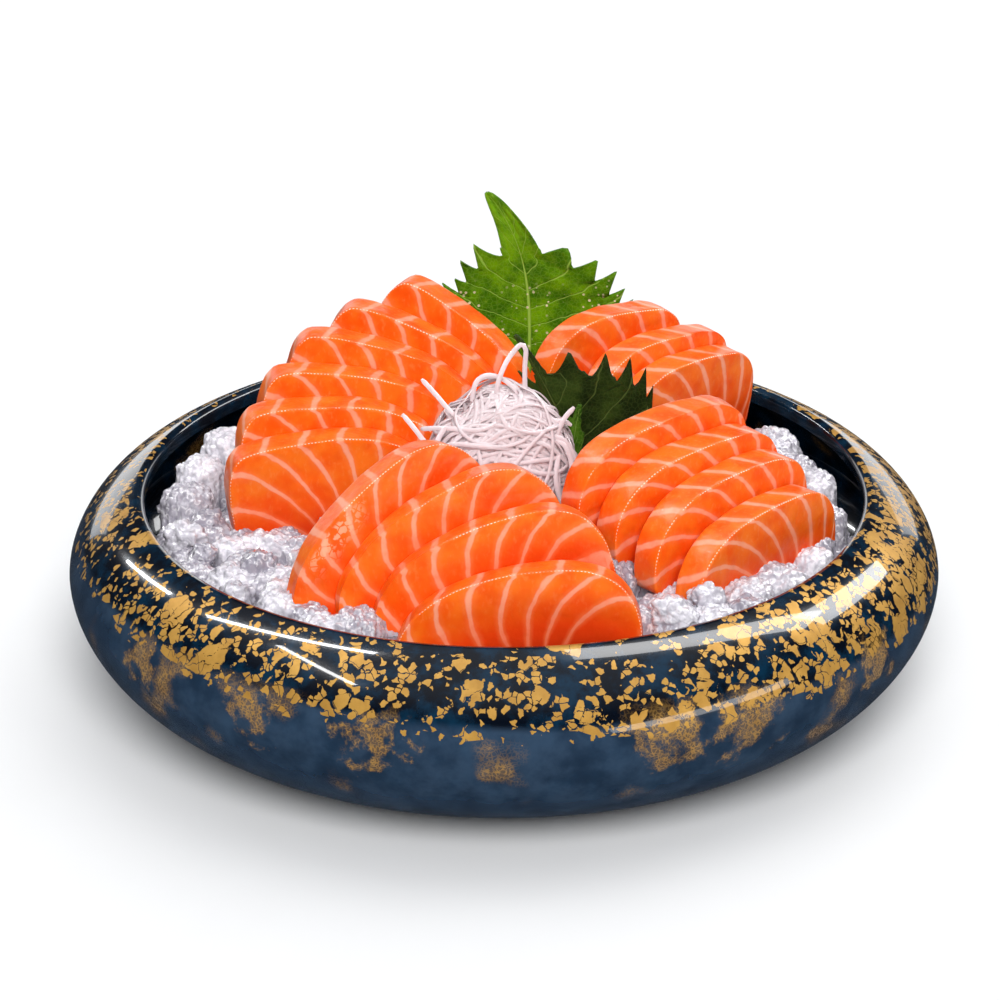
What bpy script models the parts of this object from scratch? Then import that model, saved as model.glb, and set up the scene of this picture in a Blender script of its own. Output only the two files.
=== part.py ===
"""Sashimi plate: a rolled-rim bowl of crushed ice with four fans of salmon slices, shiso leaves and daikon.

Metres, +Z up. The origin is under the bowl's centre, on the surface it stands on.
"""

import math
import random

import bmesh
import bpy
from mathutils import Matrix, Vector, noise

GAP = 0.0004                     # clearance kept between pieces that touch
STEPS = 44                       # facets round every turned shape

# Bowl: its section is two quarter curves that meet at the belly, one below and one rolled in above
FOOT_RADIUS = 0.094
FOOT_RING_WIDTH = 0.010
FOOT_RECESS = 0.003
BELLY_RADIUS = 0.140
BELLY_HEIGHT = 0.038
ROLL_RADIUS = 0.030              # radial reach of the rolled shoulder
ROLL_RISE = 0.027                # height of the rolled shoulder above the belly
CURVE_POWER = 1.8                # 2 would be an ellipse; less is flatter
MOUTH_RADIUS = 0.1150
WALL = 0.008
ROLL_WALL = 0.0055               # the wall is thinner where it rolls in
FLOOR_RADIUS = 0.082
FLOOR_HEIGHT = 0.010

# Salmon slices: half-moon slabs cut from one fillet
SLICE_WAIST = 0.30               # share of the height at which a slice is longest
SLICE_BASE_POWER = 2.8
SLICE_EDGE = 0.0009              # width of the cut edges' softening
SLICE_LENGTH_SPREAD = 0.0012
SLICE_HEIGHT_SPREAD = 0.0008

# Each fan runs from its front slice to its back one, which is shorter by the amount given. bow bends the
# row of slices, turn_bow its turning
FANS = {
    "a": dict(count=6, length=0.0680, shorter=0.0060, height=0.0370, thickness=0.0106, powers=(4.0, 2.3), peak=-0.50,
              first=(-0.0535, -0.0010, 0.0462), step=(0.0060, 0.0135, 0.0034), bow=(0.0026, 0.0009, -0.0011),
              yaw=15.0, turn=-7.2, turn_bow=-3.5, lean=0.0, lean_step=0.55, roll=-6.4, roll_step=6.3),
    "b": dict(count=4, length=0.0755, shorter=0.0, height=0.0352, thickness=0.0102, powers=(2.1, 2.8), peak=0.10,
              first=(0.0060, -0.0940, 0.0412), step=(-0.0116, 0.0114, 0.0057), bow=(-0.0061, -0.0026, -0.0028),
              yaw=-1.0, turn=10.4, turn_bow=0.0, lean=8.2, lean_step=1.5, roll=-8.7, roll_step=-6.9),
    "c": dict(count=4, length=0.0670, shorter=0.0, height=0.0345, thickness=0.0098, powers=(2.5, 3.2), peak=0.02,
              first=(0.0785, -0.0485, 0.0435), step=(-0.0102, 0.0062, 0.0078), bow=(0.0004, -0.0011, -0.0007),
              yaw=46.0, turn=-3.8, turn_bow=0.0, lean=0.0, lean_step=-1.4, roll=-2.0, roll_step=-0.7),
    "d": dict(count=3, length=0.0610, shorter=0.0050, height=0.0350, thickness=0.0096, powers=(2.6, 3.8), peak=0.12,
              first=(0.0568, 0.0408, 0.0562), step=(-0.0124, 0.0052, 0.0056), bow=(-0.0077, -0.0002, -0.0004),
              yaw=45.0, turn=-3.8, turn_bow=0.0, lean=-3.0, lean_step=0.4, roll=6.0, roll_step=0.0),
}

# Ice: fullest at the front, and heaped up under the slices
ICE_EDGE = 0.0475                # height at which the ice meets the wall
ICE_LEVEL = 0.0535
ICE_TILT = -0.07                 # the ice lies deeper towards the front
ICE_GRIP = 0.0045                # depth to which a slice's foot sinks into the ice
ICE_SLOPE = 0.95                 # steepness of the heap round a slice
ICE_LUMP = 0.0034                # height of the clumps
ICE_LUMP_SIZE = 0.015
ICE_RINGS = 15

# Shiso leaves: an ovate blade with a drip tip, all by distance along the midrib from base to tip
LEAF_THICKNESS = 0.0007
LEAVES = {
    "tall": dict(base=(0.0086, 0.0800, 0.0560), length=0.0765, half_width=0.0320, waist=0.36, fullness=0.5,
                 tip_width=0.0056, hook=-0.0143, yaw=-4.0, lean=1.5, roll=0.0, left_share=0.82, fold=0.0,
                 columns=4, teeth=10, tooth_out=0.0024, tooth_forward=0.0064, cup=0.10, first_tooth=0.06),
    "dark": dict(base=(0.0335, 0.0080, 0.0545), length=0.0580, half_width=0.0280, waist=0.40, fullness=0.8,
                 tip_width=0.0016, hook=-0.0030, yaw=4.0, lean=7.0, roll=-27.0, left_share=0.50, fold=68.0,
                 columns=4, teeth=7, tooth_out=0.0022, tooth_forward=0.0062, cup=0.10, first_tooth=0.10),
    "small": dict(base=(0.0258, 0.0015, 0.0560), length=0.0330, half_width=0.0040, waist=0.42, fullness=0.5,
                  tip_width=0.0012, hook=0.0020, yaw=20.0, lean=4.0, roll=3.0, left_share=1.0, fold=25.0,
                  columns=2, teeth=3, tooth_out=0.0012, tooth_forward=0.0030, cup=0.10, first_tooth=0.20),
}

# Daikon: a tangle of shreds, heaped in the middle
DAIKON_CENTRE = (-0.0020, -0.0085, 0.0715)
DAIKON_SIZE = (0.0240, 0.0190, 0.0285)
DAIKON_LUMP = 0.0022
DAIKON_LUMP_SIZE = 0.011


def clear_scene():
    for item in list(bpy.data.objects):
        bpy.data.objects.remove(item, do_unlink=True)


def make_collection(name):
    collection = bpy.data.collections.new(name)
    bpy.context.scene.collection.children.link(collection)
    return collection


def make_material(name, colour, roughness, metallic=0.0, transmission=0.0):
    material = bpy.data.materials.new(name)
    material.use_nodes = True
    shader = material.node_tree.nodes["Principled BSDF"]
    shader.inputs["Base Color"].default_value = (*colour, 1.0)
    shader.inputs["Roughness"].default_value = roughness
    shader.inputs["Metallic"].default_value = metallic
    shader.inputs["Transmission Weight"].default_value = transmission
    return material


def object_from(name, bm, collection, material=None, smooth_angle=40.0):
    mesh = bpy.data.meshes.new(name)
    bm.to_mesh(mesh)
    bm.free()
    mesh.shade_smooth()
    mesh.set_sharp_from_angle(angle=math.radians(smooth_angle))
    item = bpy.data.objects.new(name, mesh)
    collection.objects.link(item)
    if material:
        mesh.materials.append(material)
    return item


def quarter_curve(reach, rise, power, count):
    """A quarter of a superellipse from (reach, 0) to (0, rise)."""
    points = []
    for i in range(count):
        turn = math.pi / 2 * i / (count - 1)
        across = reach * max(0.0, math.cos(turn)) ** (2 / power)
        up = rise * max(0.0, math.sin(turn)) ** (2 / power)
        points.append((across, up))
    return points


def shoulder(reach, rise, mouth, count):
    """The rolled shoulder's curve from the belly to the mouth, as radius and height."""
    centre = BELLY_RADIUS - ROLL_RADIUS
    full = quarter_curve(reach, rise, CURVE_POWER, 60)
    kept = [(centre + across, BELLY_HEIGHT + up) for across, up in full if centre + across > mouth]
    stride = (len(kept) - 1) / (count - 1)
    return [kept[round(i * stride)] for i in range(count)]


def inner_section(offset=0.0):
    """The hollow's section from the floor's edge to the mouth, drawn in by the offset."""
    lower = quarter_curve(BELLY_RADIUS - WALL - FLOOR_RADIUS, BELLY_HEIGHT - FLOOR_HEIGHT, CURVE_POWER, 6)
    points = [(FLOOR_RADIUS + across - offset, BELLY_HEIGHT - up + offset) for across, up in reversed(lower)]
    upper = shoulder(ROLL_RADIUS - WALL, ROLL_RISE - ROLL_WALL, MOUTH_RADIUS + 0.0002, 5)
    points += [(radius - offset, height - offset) for radius, height in upper[1:]]
    return points


def bowl_section():
    """The closed section from the floor's middle, up the inside, over the lip and down to the foot."""
    section = [(0.0, FLOOR_HEIGHT)] + inner_section()
    outer = shoulder(ROLL_RADIUS, ROLL_RISE, MOUTH_RADIUS + 0.0022, 8)
    lip_height = outer[-1][1]
    section.append((MOUTH_RADIUS, lip_height - 0.0022))
    section.append((MOUTH_RADIUS + 0.0006, lip_height - 0.0005))
    section += reversed(outer)
    lower = quarter_curve(BELLY_RADIUS - FOOT_RADIUS, BELLY_HEIGHT, CURVE_POWER, 8)
    section += [(FOOT_RADIUS + across, BELLY_HEIGHT - up) for across, up in lower[1:]]
    inside = FOOT_RADIUS - FOOT_RING_WIDTH
    section += [(inside, 0.0), (inside - 0.002, FOOT_RECESS), (0.0, FOOT_RECESS)]
    return section


def make_bowl(collection):
    bm = bmesh.new()
    corners = [bm.verts.new((radius, 0.0, height)) for radius, height in bowl_section()]
    for a, b in zip(corners, corners[1:]):
        bm.edges.new((a, b))
    glaze = make_material("navy_glaze", (0.010, 0.028, 0.050), 0.10)
    bowl = object_from("bowl", bm, collection, glaze)
    screw = bowl.modifiers.new("turn", "SCREW")
    screw.axis = "Z"
    screw.steps = STEPS
    screw.render_steps = STEPS
    screw.use_merge_vertices = True
    screw.merge_threshold = 0.00005
    screw.use_smooth_shade = True
    return bowl


def slice_outline_point(turn, length, height, powers, peak):
    """A point of the half-moon outline; turn runs once round, from the long end on the right."""
    waist = SLICE_WAIST * height
    across, up = math.cos(turn), math.sin(turn)
    if up >= 0:
        power = powers[1] if across > 0 else powers[0]
        crown = peak * length / 2
        reach = length / 2 - crown if across > 0 else length / 2 + crown
        x = crown + math.copysign(reach * abs(across) ** (2 / power), across)
        z = waist + (height - waist) * up ** (2 / power)
    else:
        x = math.copysign(length / 2 * abs(across) ** (2 / SLICE_BASE_POWER), across)
        z = waist - waist * abs(up) ** (2 / SLICE_BASE_POWER)
    return x, z


def slice_mesh(fan, length, height, margin=0.0):
    """A half-moon slab in its own frame: x along it, y through it, z up. margin grows it all round."""
    sides = 18
    thickness = fan["thickness"] + 2 * margin
    bm = bmesh.new()
    bmesh.ops.create_circle(bm, cap_ends=True, segments=sides, radius=1.0)
    for i, vert in enumerate(bm.verts):
        turn = math.atan2(vert.co.y, vert.co.x)
        x, z = slice_outline_point(turn, length + 2 * margin, height + 2 * margin, fan["powers"], fan["peak"])
        vert.co = (x, -thickness / 2, z - margin)
    grown = bmesh.ops.extrude_face_region(bm, geom=bm.faces[:])
    moved = [item for item in grown["geom"] if isinstance(item, bmesh.types.BMVert)]
    bmesh.ops.translate(bm, verts=moved, vec=(0.0, thickness, 0.0))
    rims = [edge for edge in bm.edges if abs(edge.verts[0].co.y - edge.verts[1].co.y) < 1e-6]
    bmesh.ops.bevel(bm, geom=rims, offset=SLICE_EDGE, segments=1, affect="EDGES", profile=0.5)
    bmesh.ops.recalc_face_normals(bm, faces=bm.faces[:])
    return bm


def fan_placements(fan):
    """World placement of every slice of a fan, front to back."""
    placements = []
    last = fan["count"] - 1
    for i in range(fan["count"]):
        bend = i * (i - last) / 2
        place = Vector(fan["first"]) + i * Vector(fan["step"]) + bend * Vector(fan["bow"])
        yaw = math.radians(fan["yaw"] + i * fan["turn"] + bend * fan["turn_bow"])
        lean = math.radians(fan["lean"] + i * fan["lean_step"])
        roll = math.radians(fan["roll"] + i * fan["roll_step"])
        turned = Matrix.Rotation(yaw, 4, "Z") @ Matrix.Rotation(-lean, 4, "X") @ Matrix.Rotation(roll, 4, "Y")
        placements.append(Matrix.Translation(place) @ turned)
    return placements


def trim_behind(bm, placement, front, thickness, clearance):
    """Cut a slice along the back of the slice that it lies against."""
    to_own = placement.inverted()
    point = to_own @ (front @ Vector((0.0, thickness / 2 + clearance, 0.0)))
    facing = to_own.to_3x3() @ front.to_3x3() @ Vector((0.0, 1.0, 0.0))
    geometry = bm.verts[:] + bm.edges[:] + bm.faces[:]
    bmesh.ops.bisect_plane(bm, geom=geometry, plane_co=point, plane_no=facing, clear_inner=True, dist=1e-6)
    open_edges = [edge for edge in bm.edges if edge.is_boundary]
    if open_edges:
        bmesh.ops.holes_fill(bm, edges=open_edges)
    bmesh.ops.dissolve_limit(bm, angle_limit=math.radians(0.5), verts=bm.verts[:], edges=bm.edges[:])


def make_slices(collection, cutters):
    """Every fan's slices, with a slightly larger twin of each that hollows the ice under it."""
    spread = random.Random(4)
    salmon = make_material("salmon", (0.92, 0.16, 0.035), 0.32)
    for letter, fan in FANS.items():
        placements = fan_placements(fan)
        for i, placement in enumerate(placements):
            taper = fan["shorter"] * (i / (fan["count"] - 1)) ** 3
            length = fan["length"] - taper + spread.uniform(-1, 1) * SLICE_LENGTH_SPREAD
            height = fan["height"] + spread.uniform(-1, 1) * SLICE_HEIGHT_SPREAD
            for target, name, margin in ((collection, "slice", 0.0), (cutters, "cut_slice", GAP)):
                bm = slice_mesh(fan, length, height, margin)
                if i:
                    trim_behind(bm, placement, placements[i - 1], fan["thickness"], GAP - margin)
                item = object_from(f"{name}_{letter}{i + 1}", bm, target, salmon if margin == 0 else None)
                item.matrix_world = placement


def leaf_half_width(leaf, along):
    """Half the blade's width at a share of its length from the base."""
    waist = leaf["waist"]
    inside = max(0.0, 1 - ((along - waist) / waist) ** 2) if along < 2 * waist else 0.0
    blade = leaf["half_width"] * inside ** leaf["fullness"]
    tip = leaf["tip_width"] * (max(0.0, 1 - along) / 0.15) ** 0.45
    return max(blade, tip) if along > waist else max(blade, leaf["tip_width"] * 0.5)


def leaf_surface(leaf, margin=0.0, half_kept=0):
    """The blade as an open sheet: x across, z up along the midrib, y through it.

    margin grows its outline. half_kept is -1 for the left half alone and 1 for the right half alone.
    """
    rows = 2 * leaf["teeth"] + 5
    bm = bmesh.new()
    bmesh.ops.create_grid(bm, x_segments=leaf["columns"], y_segments=rows, size=1.0)
    dropped = [vert for vert in bm.verts if vert.co.x * half_kept < -0.001]
    bmesh.ops.delete(bm, geom=dropped, context="VERTS")
    fold = math.radians(leaf["fold"])
    for vert in bm.verts:
        side = vert.co.x
        row = round((vert.co.y + 1) / 2 * rows)
        along = row / rows
        toothed = leaf["first_tooth"] < along < 2 * leaf["waist"] + 0.04 and row % 2
        half = leaf_half_width(leaf, along) + margin
        tooth = side ** 4 * (leaf["tooth_out"] if toothed else -0.4 * leaf["tooth_out"])
        forward = side ** 4 * leaf["tooth_forward"] * (1 if toothed else 0)
        across = abs(side) * max(half + tooth, 0.25 * half + 0.0003)
        if side < 0:
            across *= leaf["left_share"]
        lift = leaf["cup"] * across * abs(side)
        bend = fold if side < 0 else 0.0
        out = across * math.cos(bend) + lift * math.sin(bend)
        back = across * math.sin(bend) - lift * math.cos(bend)
        hook = leaf["hook"] * max(0.0, (along - 0.3) / 0.7) ** 3
        up = min(leaf["length"] * along + forward, leaf["length"]) + margin * (2 * along - 1)
        vert.co = (hook + math.copysign(out, side), back, up)
    bmesh.ops.triangulate(bm, faces=bm.faces[:])
    return bm


def half_leaf_hollow(leaf, half):
    """A thin convex body that holds half of the blade with clearance all round."""
    surface = leaf_surface(leaf, GAP, half)
    reach = LEAF_THICKNESS / 2 + GAP
    hull = bmesh.new()
    for vert in surface.verts:
        for across, back in ((-reach, -reach), (-reach, reach), (reach, -reach), (reach, reach)):
            hull.verts.new(vert.co + Vector((across, back, 0.0)))
    surface.free()
    result = bmesh.ops.convex_hull(hull, input=hull.verts[:])
    bmesh.ops.delete(hull, geom=result["geom_interior"], context="VERTS")
    bmesh.ops.recalc_face_normals(hull, faces=hull.faces[:])
    return hull


def place_leaf(item, leaf):
    item.location = leaf["base"]
    item.rotation_mode = "XYZ"
    item.rotation_euler = (math.radians(-leaf["lean"]), math.radians(leaf["roll"]), math.radians(leaf["yaw"]))


def make_leaves(collection, cutters):
    greens = {"tall": (0.072, 0.170, 0.006), "dark": (0.016, 0.040, 0.005), "small": (0.060, 0.150, 0.010)}
    for name, leaf in LEAVES.items():
        green = make_material(f"shiso_{name}", greens[name], 0.45)
        blade = object_from(f"shiso_leaf_{name}", leaf_surface(leaf), collection, green)
        shell = blade.modifiers.new("thickness", "SOLIDIFY")
        shell.thickness = LEAF_THICKNESS
        shell.offset = 0.0
        place_leaf(blade, leaf)
        for side, half in (("left", -1), ("right", 1)):
            place_leaf(object_from(f"cut_leaf_{name}_{side}", half_leaf_hollow(leaf, half), cutters), leaf)


def daikon_mesh(margin=0.0):
    bm = bmesh.new()
    bmesh.ops.create_uvsphere(bm, u_segments=20, v_segments=12, radius=1.0)
    for vert in bm.verts:
        unit = vert.co.normalized()
        co = Vector((unit.x * DAIKON_SIZE[0], unit.y * DAIKON_SIZE[1], unit.z * DAIKON_SIZE[2]))
        lump = noise.noise(co / DAIKON_LUMP_SIZE) * DAIKON_LUMP
        vert.co = co + unit * (lump + margin)
    bmesh.ops.triangulate(bm, faces=bm.faces[:])
    return bm


def make_daikon(collection, cutters):
    white = make_material("daikon", (0.78, 0.74, 0.72), 0.38, transmission=0.2)
    for target, name, margin in ((collection, "daikon_heap", 0.0), (cutters, "cut_daikon", GAP)):
        item = object_from(name, daikon_mesh(margin), target, white if margin == 0 else None)
        item.location = DAIKON_CENTRE


def slice_feet():
    """The middle line of each slice's underside: its two ends and half its thickness."""
    feet = []
    for fan in FANS.values():
        reach = fan["length"] * 0.40
        for placement in fan_placements(fan):
            ends = [placement @ Vector((side * reach, 0.0, 0.0)) for side in (-1, 1)]
            feet.append((ends[0], ends[1], fan["thickness"] / 2))
    return feet


def ice_height(x, y, feet):
    """Height of the heap: a tilted level, raised round the feet of the slices, with clumps on it."""
    spot = Vector((x, y, 0.0))
    height = ICE_LEVEL + ICE_TILT * y
    for start, end, half in feet:
        run = end - start
        flat = Vector((run.x, run.y, 0.0))
        share = max(0.0, min(1.0, (spot - Vector((start.x, start.y, 0.0))).dot(flat) / flat.length_squared))
        nearest = start + run * share
        away = math.hypot(x - nearest.x, y - nearest.y) - half
        height = max(height, nearest.z + ICE_GRIP - ICE_SLOPE * max(0.0, away))
    lump = noise.noise(Vector((x, y, 0.31)) / ICE_LUMP_SIZE)
    return height + ICE_LUMP * lump


def section_radius(section, height):
    """Radius of the hollow at a height on its upper or lower wall."""
    for (r1, z1), (r2, z2) in zip(section, section[1:]):
        if z1 <= height <= z2:
            return r1 + (r2 - r1) * (height - z1) / (z2 - z1)
    return section[-1][0]


def roof_height(section, radius):
    """Highest that the ice may stand: under the rolled-in wall, and rising steeply well inside the mouth."""
    widest = max(range(len(section)), key=lambda i: section[i][0])
    for (r1, z1), (r2, z2) in zip(section[widest:], section[widest + 1:]):
        if r2 <= radius <= r1:
            return z1 + (z2 - z1) * (r1 - radius) / (r1 - r2)
    return section[-1][1] - 0.001 + ICE_SLOPE * max(0.0, MOUTH_RADIUS - 0.009 - radius)


def ice_mesh():
    """The heap fills the bowl's hollow up to its uneven top."""
    section = inner_section(GAP)
    feet = slice_feet()
    edge_radius = section_radius(section, ICE_EDGE)
    below = [point for point in section if point[1] < ICE_EDGE - 0.001][::2]
    bm = bmesh.new()
    lower_rings = len(below) + 1
    upper_rings = ICE_RINGS - lower_rings
    bmesh.ops.create_uvsphere(bm, u_segments=STEPS, v_segments=ICE_RINGS, radius=1.0)
    for vert in bm.verts:
        turn = math.atan2(vert.co.y, vert.co.x)
        ring = round(math.acos(max(-1.0, min(1.0, -vert.co.z))) / math.pi * ICE_RINGS)
        if ring == 0:
            radius, height = 0.0, below[0][1]
        elif ring < lower_rings:
            radius, height = below[ring - 1]
        elif ring == lower_rings:
            radius, height = edge_radius, ICE_EDGE
        else:
            radius = edge_radius * (ICE_RINGS - ring) / upper_rings
            height = ice_height(radius * math.cos(turn), radius * math.sin(turn), feet)
            height = min(height, roof_height(section, radius))
        vert.co = (radius * math.cos(turn), radius * math.sin(turn), height)
    bmesh.ops.triangulate(bm, faces=bm.faces[:])
    bmesh.ops.recalc_face_normals(bm, faces=bm.faces[:])
    return bm


def keep_largest_body(bm):
    """Drop the loose crumbs that the cuts leave behind."""
    left = set(bm.verts)
    bodies = []
    while left:
        body, front = set(), [left.pop()]
        while front:
            vert = front.pop()
            body.add(vert)
            for edge in vert.link_edges:
                other = edge.other_vert(vert)
                if other in left:
                    left.remove(other)
                    front.append(other)
        bodies.append(body)
    bodies.sort(key=len)
    crumbs = [vert for body in bodies[:-1] for vert in body]
    bmesh.ops.delete(bm, geom=crumbs, context="VERTS")


def make_ice(collection, cutters):
    """The heap with a hollow for everything that stands in it."""
    raw = object_from("ice_raw", ice_mesh(), collection)
    cut = raw.modifiers.new("hollows", "BOOLEAN")
    cut.operation = "DIFFERENCE"
    cut.operand_type = "COLLECTION"
    cut.collection = cutters
    bpy.context.view_layer.update()
    evaluated = raw.evaluated_get(bpy.context.evaluated_depsgraph_get())
    bm = bmesh.new()
    bm.from_mesh(evaluated.to_mesh())
    evaluated.to_mesh_clear()
    bpy.data.objects.remove(raw, do_unlink=True)
    keep_largest_body(bm)
    bmesh.ops.remove_doubles(bm, verts=bm.verts[:], dist=0.000005)
    ice = make_material("ice", (0.80, 0.79, 0.82), 0.12, transmission=0.6)
    return object_from("ice_heap", bm, collection, ice)


def main():
    clear_scene()
    plate = make_collection("sashimi_plate")
    cutters = make_collection("hollow_cutters")
    make_bowl(plate)
    make_slices(plate, cutters)
    make_leaves(plate, cutters)
    make_daikon(plate, cutters)
    make_ice(plate, cutters)
    for item in cutters.objects:
        item.hide_render = True
        item.display_type = "WIRE"


main()
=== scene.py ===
import math
import random

import bmesh
import bpy
import numpy as np
from mathutils import Matrix, Vector, noise
from mathutils.bvhtree import BVHTree


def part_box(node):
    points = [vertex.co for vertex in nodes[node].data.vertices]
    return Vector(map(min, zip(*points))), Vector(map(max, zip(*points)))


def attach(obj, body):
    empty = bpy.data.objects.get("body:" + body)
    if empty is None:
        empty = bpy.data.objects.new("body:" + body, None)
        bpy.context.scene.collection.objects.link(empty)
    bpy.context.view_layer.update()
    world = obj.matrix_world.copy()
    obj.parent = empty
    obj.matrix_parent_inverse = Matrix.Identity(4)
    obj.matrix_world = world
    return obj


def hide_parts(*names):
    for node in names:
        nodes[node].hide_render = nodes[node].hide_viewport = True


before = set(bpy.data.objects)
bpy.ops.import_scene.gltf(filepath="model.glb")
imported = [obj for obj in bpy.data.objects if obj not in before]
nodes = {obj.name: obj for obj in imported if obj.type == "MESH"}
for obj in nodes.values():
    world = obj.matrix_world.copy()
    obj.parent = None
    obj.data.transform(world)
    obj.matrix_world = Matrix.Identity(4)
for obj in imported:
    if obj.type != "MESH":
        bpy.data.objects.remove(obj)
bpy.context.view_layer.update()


def srgb(red, green, blue):
    # a colour as seen on screen, 0 to 255, in linear light
    return tuple(((v / 255 + 0.055) / 1.055) ** 2.4 for v in (red, green, blue)) + (1.0,)


def newMaterial(name):
    material = bpy.data.materials.new(name)
    material.use_nodes = True
    tree = material.node_tree
    return material, tree, tree.nodes["Principled BSDF"]


def feed(tree, socket, value):
    if isinstance(value, bpy.types.NodeSocket):
        tree.links.new(value, socket)
    else:
        socket.default_value = value


def addNode(tree, kind, inputs=None, **settings):
    node = tree.nodes.new("ShaderNode" + kind)
    for key, value in settings.items():
        setattr(node, key, value)
    for key, value in (inputs or {}).items():
        feed(tree, node.inputs[key], value)
    return node


def maths(tree, operation, *values):
    node = tree.nodes.new("ShaderNodeMath")
    node.operation = operation
    for socket, value in zip(node.inputs, values):
        feed(tree, socket, value)
    return node.outputs[0]


def ease(tree, value, low, high):
    # 0 below low, 1 above high, smooth between; low may be above high
    limits = {"Value": value, "From Min": low, "From Max": high}
    return addNode(tree, "MapRange", limits, interpolation_type="SMOOTHSTEP").outputs["Result"]


def mixColours(tree, share, first, second, blend="MIX"):
    node = tree.nodes.new("ShaderNodeMix")
    node.data_type = "RGBA"
    node.blend_type = blend
    for index, value in ((0, share), (6, first), (7, second)):
        feed(tree, node.inputs[index], value)
    return node.outputs[2]


def objectCoords(tree, stretch=(1.0, 1.0, 1.0)):
    coords = addNode(tree, "TexCoord").outputs["Object"]
    return addNode(tree, "Mapping", {"Vector": coords, "Scale": stretch}).outputs["Vector"]


def noiseOf(tree, vector, size, detail=2.0, rough=0.5):
    # size is the grain of the noise in metres
    settings = {"Vector": vector, "Scale": 1 / size, "Detail": detail, "Roughness": rough}
    return addNode(tree, "TexNoise", settings).outputs["Fac"]


def edgeDistance(tree, vector, scale):
    # distance to the nearest join between cells, in cells
    cells = {"Vector": vector, "Scale": scale}
    return addNode(tree, "TexVoronoi", cells, feature="DISTANCE_TO_EDGE").outputs["Distance"]


def readAttribute(tree, name):
    return addNode(tree, "Attribute", attribute_name=name).outputs["Fac"]


def addBump(tree, shader, height, distance, strength=1.0):
    bump = addNode(tree, "Bump", {"Height": height, "Distance": distance, "Strength": strength})
    tree.links.new(bump.outputs["Normal"], shader.inputs["Normal"])
    return bump


def addPiece(name, mesh, material, slot, *replaced, sharpAngle=None):
    mesh.shade_smooth()
    if sharpAngle:
        mesh.set_sharp_from_angle(angle=math.radians(sharpAngle))
    piece = bpy.data.objects.new(name, mesh)
    bpy.context.scene.collection.objects.link(piece)
    mesh.materials.clear()
    mesh.materials.append(material)
    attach(piece, "root")
    if replaced:
        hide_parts(*replaced)
    print("made", name, sum(len(poly.vertices) - 2 for poly in mesh.polygons), "triangles")
    return piece


def meshFrom(name, bm):
    mesh = bpy.data.meshes.new(name)
    bm.to_mesh(mesh)
    bm.free()
    return mesh


def setValues(mesh, name, values):
    mesh.attributes.new(name, "FLOAT", "POINT").data.foreach_set("value", np.asarray(values, np.float32))


def treeOf(names):
    points, faces = [], []
    for name in names:
        mesh = nodes[name].data
        start = len(points)
        points += [vert.co for vert in mesh.vertices]
        faces += [[start + i for i in poly.vertices] for poly in mesh.polygons]
    return BVHTree.FromPolygons(points, faces)


sliceNames = sorted(name for name in nodes if name.startswith("slice_"))
sliceTree = treeOf(sliceNames)
iceTree = treeOf(["ice_heap"])
daikonPlace = sum(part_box("daikon_heap"), Vector()) / 2


def heightOf(tree, x, y):
    hit = tree.ray_cast(Vector((x, y, 0.3)), Vector((0, 0, -1)))[0]
    return hit.z if hit is not None else None


# Bowl
bowl = dict(foot=0.094, footRing=0.010, recess=0.003, belly=0.140, bellyHeight=0.038, roll=0.030, rise=0.027,
            power=1.8, mouth=0.1150, wall=0.008, rollWall=0.0055, floor=0.082, floorHeight=0.010, lip=0.0022,
            steps=192)
# gold over navy, and below a line that lies a little lower on the right a painted reflection of the pale floor in
# slate blue
glaze = dict(gold=((142, 98, 34), (218, 170, 84)), navy=((1, 8, 19), (4, 40, 62)),
             floorReflection=((28, 46, 66), (50, 70, 92)), floorReflectionShare=0.85, dipTilt=0.025, reflectionTop=0.0488, reflectionEnd=0.0460,
             flakeEnd=0.0430, flakeFade=0.0045, drift=0.034, cracks=210.0, scratches=900.0, rubShare=0.8)
# layers of flakes: size, share of cells that are gold, how much the drifts of gold change it
flakeLayers = ((0.0100, 0.15, 1.4), (0.0048, 0.26, 1.3), (0.0021, 0.40, 0.8))
# places low on the belly where gold was rubbed in, and how far it spreads
rubs = [((0.048, -0.128, 0.043), 0.014), ((0.070, -0.118, 0.044), 0.014), ((-0.036, -0.132, 0.042), 0.010),
        ((-0.074, -0.116, 0.044), 0.010), ((-0.108, -0.086, 0.045), 0.010), ((0.112, -0.080, 0.040), 0.010)]


def quarterCurve(reach, rise, count):
    turns = np.linspace(0, math.pi / 2, count)
    share = 2 / bowl["power"]
    return reach * np.cos(turns).clip(0) ** share, rise * np.sin(turns).clip(0) ** share


def bowlSection():
    # radius and height from the floor's middle, up the inside, over the lip and down to the foot
    b = bowl
    section = [(0.0, b["floorHeight"])]
    across, up = quarterCurve(b["belly"] - b["wall"] - b["floor"], b["bellyHeight"] - b["floorHeight"], 14)
    section += [(b["floor"] + x, b["bellyHeight"] - z) for x, z in zip(across[::-1], up[::-1])]
    centre = b["belly"] - b["roll"]
    across, up = quarterCurve(b["roll"] - b["wall"], b["rise"] - b["rollWall"], 40)
    inner = [(centre + x, b["bellyHeight"] + z) for x, z in zip(across[1:], up[1:])]
    section += [spot for spot in inner if spot[0] > b["mouth"] + 0.0003]
    across, up = quarterCurve(b["roll"], b["rise"], 44)
    outer = [(centre + x, b["bellyHeight"] + z) for x, z in zip(across, up) if centre + x > b["mouth"] + b["lip"]]
    top = outer[-1][1]
    for turn in np.linspace(0, math.pi / 2, 6):
        section.append((b["mouth"] + b["lip"] * (1 - math.cos(turn)), top - 0.0022 + 0.0021 * math.sin(turn)))
    section += outer[::-1]
    across, up = quarterCurve(b["belly"] - b["foot"], b["bellyHeight"], 24)
    section += [(b["foot"] + x, b["bellyHeight"] - z) for x, z in zip(across[1:], up[1:])]
    inside = b["foot"] - b["footRing"]
    return section + [(inside, 0.0), (inside - 0.002, b["recess"]), (0.0, b["recess"])]


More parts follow.
